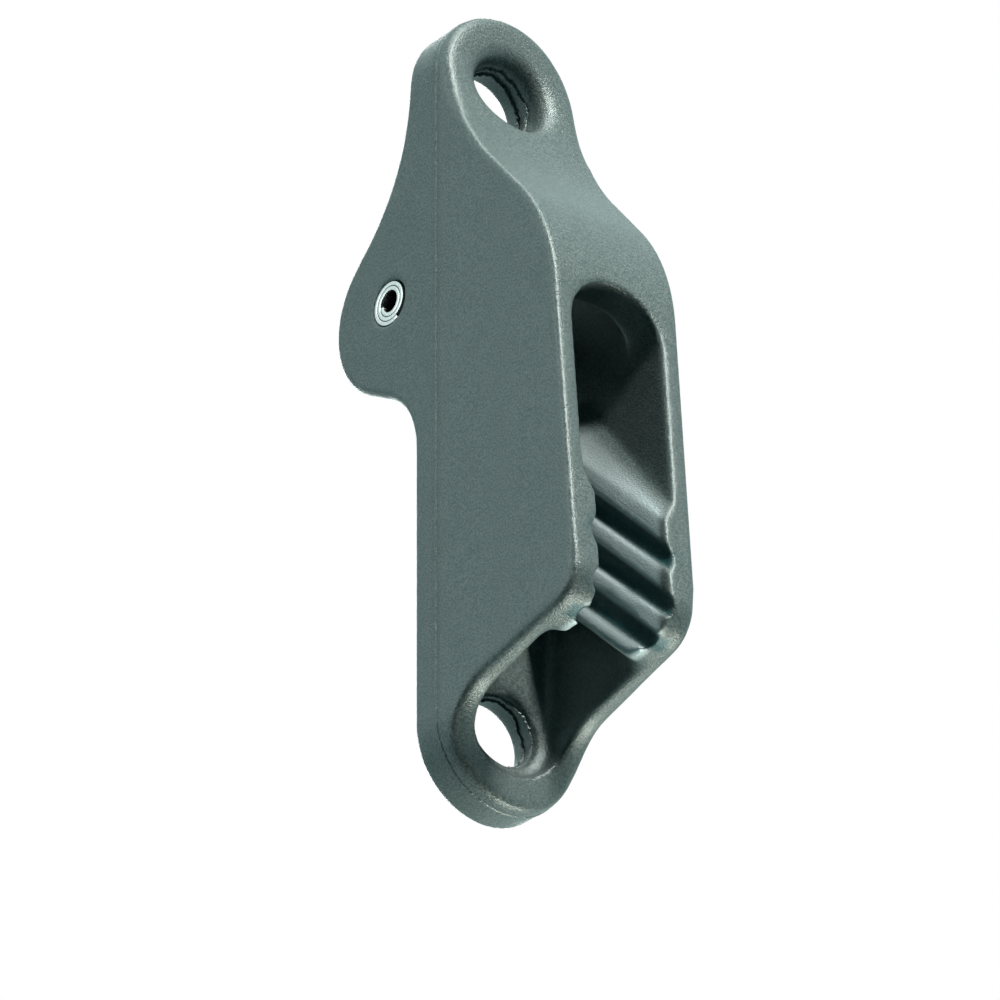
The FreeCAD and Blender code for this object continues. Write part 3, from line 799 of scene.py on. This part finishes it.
@dataclass
class MouldFlash:
    """Thin fins that the mould left: round the body's outside and inside the eyes.

    Lengths are in millimetres. The shares are drawn anew for each station of a ring.

    Attributes:
        material: the casting's material.
        body: the body that the fins move with.
        root: how deep a fin's foot is sunk into the wall.
        step: distance from one station of the parting line to the next.
        rise: the line's greatest height.
        width: the line's greatest width.
        rise_shares: the least and the greatest share of the height.
        width_shares: the least and the greatest share of the width.
        sway: how far the line wanders to either side.
        near_toe: depth at which the line's front face turns up.
        far_toe: depth at which its rear face turns up.
        near_top: share of the half width in front of its flat top.
        far_top: share of the half width behind it.
        far_foot: share of the half width at the foot of its rear face.
        eye_radius: radius of the eyes' wall.
        eye_stations: stations round an eye.
        eye_shares: the least and the greatest share of a fin's reach.
        drift_kept: share of a fin's sideways drift that the next station keeps.
        drift_step: how much drift a station adds at most.
        closing_rate: how soon the drift dies away where the ring closes.
        foot_half: half of a fin's thickness at its foot.
        shoulder_half: half of its thickness at its shoulder.
        crest_half: half of its thickness at its crest.
        shoulder_share: height of its shoulder, as a share of the fin's.
        fins: the fins inside the eyes.
    """

    material: bpy.types.Material
    body: str = "cleat"
    root: float = 0.3
    step: float = 0.5
    rise: float = 0.055
    width: float = 0.38
    rise_shares: Pair = (0.25, 1.0)
    width_shares: Pair = (0.8, 1.0)
    sway: float = 0.03
    near_toe: float = 0.04
    far_toe: float = 0.05
    near_top: float = 0.35
    far_top: float = 0.5
    far_foot: float = 0.7
    eye_radius: float = 3.4
    eye_stations: int = 110
    eye_shares: Pair = (0.45, 1.0)
    drift_kept: float = 0.86
    drift_step: float = 0.11
    closing_rate: float = 6.0
    foot_half: float = 0.14
    shoulder_half: float = 0.09
    crest_half: float = 0.03
    shoulder_share: float = 0.8
    fins: tuple[EyeFin, ...] = (
        EyeFin("upper_eye_fin_front", PLAN.upper_eye, depth=0.72, reach=0.30),
        EyeFin("upper_eye_fin_back", PLAN.upper_eye, depth=1.75, reach=0.38),
        EyeFin("lower_eye_fin_front", PLAN.lower_eye, depth=0.05, reach=0.26),
        EyeFin("lower_eye_fin_back", PLAN.lower_eye, depth=1.0, reach=0.34),
    )

    def piece(self, name: str, path: list[Station], sections: list[Section]) -> bpy.types.Object:
        """A closed ring of uneven section: each station's loop, bridged to the next station's.

        Args:
            name: the piece's name.
            path: for each station, its foot point and its outward direction.
            sections: for each station, pairs of height and place along Y.

        Returns:
            The finished piece.
        """
        mesh = bmesh.new()
        loops = []
        for (foot, outward), corners in zip(path, sections):
            ring = [mesh.verts.new((foot + outward * high + Vector((0, along, 0))) * MM)
                    for high, along in corners]
            loops.append([mesh.edges.new(ends) for ends in zip(ring, ring[1:] + ring[:1])])
        for here, after in zip(loops, loops[1:] + loops[:1]):
            bmesh.ops.bridge_loops(mesh, edges=here + after)
        bmesh.ops.recalc_face_normals(mesh, faces=mesh.faces)
        piece = object_from(mesh, name)
        dress(piece, self.material)
        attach(piece, self.body)
        return piece

    def outline(self) -> list[Station]:
        """Stations round the body's outside in the parting plane.

        Returns:
            For each station, its foot point and its outward direction.
        """
        stations = []
        turns = int(math.pi * PLAN.half_width / self.step)
        rows = int((PLAN.top - PLAN.bottom) / self.step)
        for start, end, first in ((PLAN.top, PLAN.bottom, 0.0), (PLAN.bottom, PLAN.top, math.pi)):
            for turn in range(turns):
                angle = first + math.pi * turn / turns
                outward = Vector((math.cos(angle), 0, math.sin(angle)))
                stations.append((Vector((0, 0, start)) + outward * PLAN.half_width, outward))
            outward = Vector((-math.cos(first), 0, 0))
            for row in range(rows):
                height = start + (end - start) * row / rows
                stations.append((Vector((0, 0, height)) + outward * PLAN.half_width, outward))
        return stations

    def parting_line(self) -> bpy.types.Object:
        """The raised line round the outside, slightly uneven.

        Returns:
            The finished piece.
        """
        path = self.outline()
        sections = []
        for _ in path:
            high = self.rise * random.uniform(*self.rise_shares)
            half = self.width / 2 * random.uniform(*self.width_shares)
            shift = random.uniform(-self.sway, self.sway)
            sections.append([(-self.root, shift - half), (-self.near_toe, shift - half),
                             (high, shift - half * self.near_top), (high, shift + half * self.far_top),
                             (-self.far_toe, shift + half * self.far_foot), (-self.root, shift + half)])
        return self.piece("parting_line", path, sections)

    def eye_fin(self, fin: EyeFin) -> bpy.types.Object:
        """A ragged fin inside an eye.

        Args:
            fin: the fin's place and reach.

        Returns:
            The finished piece.
        """
        path = []
        sections = []
        count = self.eye_stations
        drift = 0.0
        for station in range(count):
            angle = 2 * math.pi * station / count
            inward = Vector((-math.cos(angle), 0, -math.sin(angle)))
            path.append((Vector((0, 0, fin.centre)) - inward * self.eye_radius, inward))
            drift = self.drift_kept * drift + random.uniform(-self.drift_step, self.drift_step)
            closing = min(1.0, self.closing_rate * (count - station) / count)
            place = fin.depth + drift * closing
            high = fin.reach * random.uniform(*self.eye_shares)
            shoulder = high * self.shoulder_share
            rising = [(-self.root, self.foot_half), (shoulder, self.shoulder_half), (high, self.crest_half)]
            sections.append([(level, place - half) for level, half in rising]
                            + [(level, place + half) for level, half in reversed(rising)])
        return self.piece(fin.name, path, sections)

    def build(self) -> list[bpy.types.Object]:
        """Make the parting line and every fin."""
        return [self.parting_line(), *(self.eye_fin(fin) for fin in self.fins)]


@dataclass
class Fitting:
    """A piece that stands in for its frame node, with its sharp edges finely bevelled.

    Attributes:
        node: the frame node that it replaces.
        body: the body that it moves with.
        slot: its material slot; not used.
        finish: its finish.
        bevel_width: width of the bevels, in metres.
        bevel_segments: steps across a bevel.
        sharp_angle: the angle in degrees past which an edge counts as sharp.
    """

    node: str
    body: str
    slot: str
    finish: StainlessStrip | MouldedRoller
    bevel_width: float
    bevel_segments: int = 2
    sharp_angle: float = 35.0

    def build(self) -> bpy.types.Object:
        """Copy the node, bevel its sharp edges and let the copy stand in for it.

        Returns:
            The finished piece.
        """
        piece = merged_copy(self.node, f"{self.node}_dressed")
        bevel = piece.modifiers.new("bevel", "BEVEL")
        bevel.affect = "EDGES"
        bevel.limit_method = "ANGLE"
        bevel.angle_limit = math.radians(self.sharp_angle)
        bevel.width = self.bevel_width
        bevel.segments = self.bevel_segments
        bevel.profile = 0.5
        bevel.material = -1
        apply_modifiers(piece)
        smooth(piece)
        split = piece.modifiers.new("split", "EDGE_SPLIT")
        split.split_angle = math.radians(self.sharp_angle)
        apply_modifiers(piece)
        dress(piece, self.finish.material())
        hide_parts(self.node)
        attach(piece, self.body)
        return piece


@dataclass(frozen=True)
class Lamp:
    """A square soft lamp.

    Attributes:
        name: the lamp's name.
        place: its centre, in metres.
        size: its side, in metres.
        power: its power in watts.
        colour: its light's colour.
    """

    name: str
    place: Triple
    size: float
    power: float
    colour: Triple

    def hang(self, aim: Triple) -> None:
        """Put the lamp into the scene.

        Args:
            aim: the point that it shines at.
        """
        data = bpy.data.lights.new(self.name, "AREA")
        data.shape = "SQUARE"
        data.size = self.size
        data.energy = self.power
        data.color = self.colour
        lamp = link(bpy.data.objects.new(self.name, data))
        lamp.location = self.place
        lamp.rotation_mode = "QUATERNION"
        lamp.rotation_quaternion = (Vector(aim) - Vector(self.place)).to_track_quat("-Z", "Y")


@dataclass
class Studio:
    """Floor, lamps, surroundings and the camera at the photograph's angle.

    Attributes:
        turn: the camera's turn about the upright, in degrees.
        rise: how steeply it looks up, in degrees.
        pixels_per_mm: scale of the photograph.
        photo_size: the photograph's side, in pixels.
        origin_pixel: the frame's origin in the photograph.
        distance: how far the camera stands off, in metres.
        clip: the nearest and the farthest that it sees.
        floor_drop: how far the floor lies below the origin.
        floor_radius: radius of the floor.
        floor_sides: sides of the round floor.
        floor_colour: colour of the floor.
        floor_roughness: roughness of the floor.
        floor_light: colour of the floor's glow.
        floor_glow: strength of the glow.
        fill: strength of the dim light from all round.
        fill_colour: colour of that light.
        room_range: cosines to the camera's side at which the mirrored room is still white, and dark.
        room_tint: colour of the mirrored room.
        aim: the point that the lamps shine at.
        lamps: the key from above in front, then softer ones.
    """

    turn: float = 39.42
    rise: float = 29.31
    pixels_per_mm: float = 12.056
    photo_size: float = 1000.0
    origin_pixel: Pair = (500.4, 103.0)
    distance: float = 0.5
    clip: Pair = (0.01, 10.0)
    floor_drop: float = 0.62
    floor_radius: float = 6.0
    floor_sides: int = 64
    floor_colour: Triple = (0.9, 0.9, 0.9)
    floor_roughness: float = 0.9
    floor_light: Triple = (0.93, 0.97, 1.0)
    floor_glow: float = 0.62
    fill: float = 0.13
    fill_colour: Triple = (0.42, 0.95, 1.0)
    room_range: Pair = (0.10, 0.75)
    room_tint: Triple = (0.76, 0.98, 0.98)
    aim: Triple = (0.0, 0.0, -0.030)
    lamps: tuple[Lamp, ...] = (
        Lamp("key", (-0.07, -0.52, 0.46), size=0.11, power=9.0, colour=(1.0, 0.93, 0.89)),
        Lamp("top", (-0.06, -0.12, 0.70), size=0.30, power=2.6, colour=(1.0, 0.96, 0.93)),
        Lamp("left_fill", (-0.75, 0.18, 0.22), size=0.50, power=1.9, colour=(0.95, 0.98, 1.0)),
        Lamp("behind", (0.32, 0.64, 0.30), size=0.45, power=4.8, colour=(0.97, 0.99, 1.0)),
        Lamp("low_right", (0.30, -0.06, -0.55), size=0.14, power=4.2, colour=(1.0, 0.93, 0.84)),
    )

    def toward(self) -> Vector:
        """Direction in which the camera looks, up and to the right."""
        turn, rise = math.radians(self.turn), math.radians(self.rise)
        return Vector((math.sin(turn) * math.cos(rise), math.cos(turn) * math.cos(rise), math.sin(rise)))

    def camera(self) -> None:
        """Place the camera so that the origin falls on its pixel of the photograph."""
        forward = self.toward()
        turn = math.radians(self.turn)
        right = Vector((math.cos(turn), -math.sin(turn), 0))
        up = right.cross(forward)
        middle = self.photo_size / 2
        across = (middle - self.origin_pixel[0]) / self.pixels_per_mm * MM
        down = (middle - self.origin_pixel[1]) / self.pixels_per_mm * MM
        target = right * across - up * down
        data = bpy.data.cameras.new("camera")
        data.type = "ORTHO"
        data.ortho_scale = self.photo_size / self.pixels_per_mm * MM
        data.clip_start, data.clip_end = self.clip
        camera = link(bpy.data.objects.new("camera", data))
        camera.location = target - forward * self.distance
        camera.rotation_mode = "QUATERNION"
        camera.rotation_quaternion = forward.to_track_quat("-Z", "Y")
        bpy.context.scene.camera = camera

    def floor(self) -> None:
        """A pale floor well below the hanging cleat."""
        mesh = bmesh.new()
        bmesh.ops.create_circle(mesh, cap_ends=True, segments=self.floor_sides, radius=self.floor_radius)
        bmesh.ops.translate(mesh, verts=mesh.verts, vec=(0, 0, -self.floor_drop))
        floor = object_from(mesh, "floor")
        sheet = FinishSheet("pale_floor")
        sheet.shader.inputs["Base Color"].default_value = (*self.floor_colour, 1)
        sheet.shader.inputs["Roughness"].default_value = self.floor_roughness
        sheet.shader.inputs["Emission Color"].default_value = (*self.floor_light, 1)
        sheet.shader.inputs["Emission Strength"].default_value = self.floor_glow
        dress(floor, sheet.material)
        floor.visible_diffuse = False
        floor.visible_glossy = False

    def surroundings(self) -> None:
        """A white backdrop, a dim light from all round, and a mirrored room, dark behind the camera."""
        world = bpy.data.worlds.new("surroundings")
        world.use_nodes = True
        net = NodeNet(world.node_tree)
        net.tree.nodes.clear()
        rays = net.add("LightPath")
        seen = net.combine("MAXIMUM", rays.outputs["Is Camera Ray"], rays.outputs["Is Transmission Ray"])
        shown = net.combine("MAXIMUM", seen, rays.outputs["Is Glossy Ray"])
        facing = net.add("VectorMath", operation="DOT_PRODUCT")
        net.join(net.add("TexCoord").outputs["Generated"], facing.inputs[0])
        facing.inputs[1].default_value = -self.toward()
        room = net.span(facing.outputs["Value"], *self.room_range, 1.0, 0.0)
        fill = net.add("Background", Color=(*self.fill_colour, 1), Strength=self.fill)
        white = net.add("Background")
        net.join(net.combine("MAXIMUM", room, seen), white.inputs["Strength"])
        net.join(net.blend(seen, self.room_tint, WHITE), white.inputs["Color"])
        mix = net.add("MixShader")
        for source, target in zip((shown, fill.outputs[0], white.outputs[0]), mix.inputs):
            net.join(source, target)
        net.join(mix.outputs[0], net.add("OutputWorld").inputs[0])
        bpy.context.scene.world = world

    def build(self) -> None:
        """Set the whole studio up."""
        self.camera()
        self.floor()
        self.surroundings()
        for lamp in self.lamps:
            lamp.hang(self.aim)
        bpy.context.scene.view_settings.view_transform = "Standard"


def main() -> None:
    """Build the studio and every piece, and note the sizes."""
    logging.basicConfig(level=logging.INFO)
    random.seed(SEED)
    Studio().build()
    casting = Casting().build()
    flash = MouldFlash(casting.data.materials[0]).build()
    pin = Fitting("coiled_spring_pin", "cleat", "pin", StainlessStrip(), bevel_width=0.05 * MM).build()
    roller = Fitting("rope_roller", "roller", "roller", MouldedRoller(), bevel_width=0.18 * MM).build()
    for piece in (casting, *flash, pin, roller):
        log.info("%s: %d triangles", piece.name, triangle_count(piece))


if __name__ == "__main__":
    main()
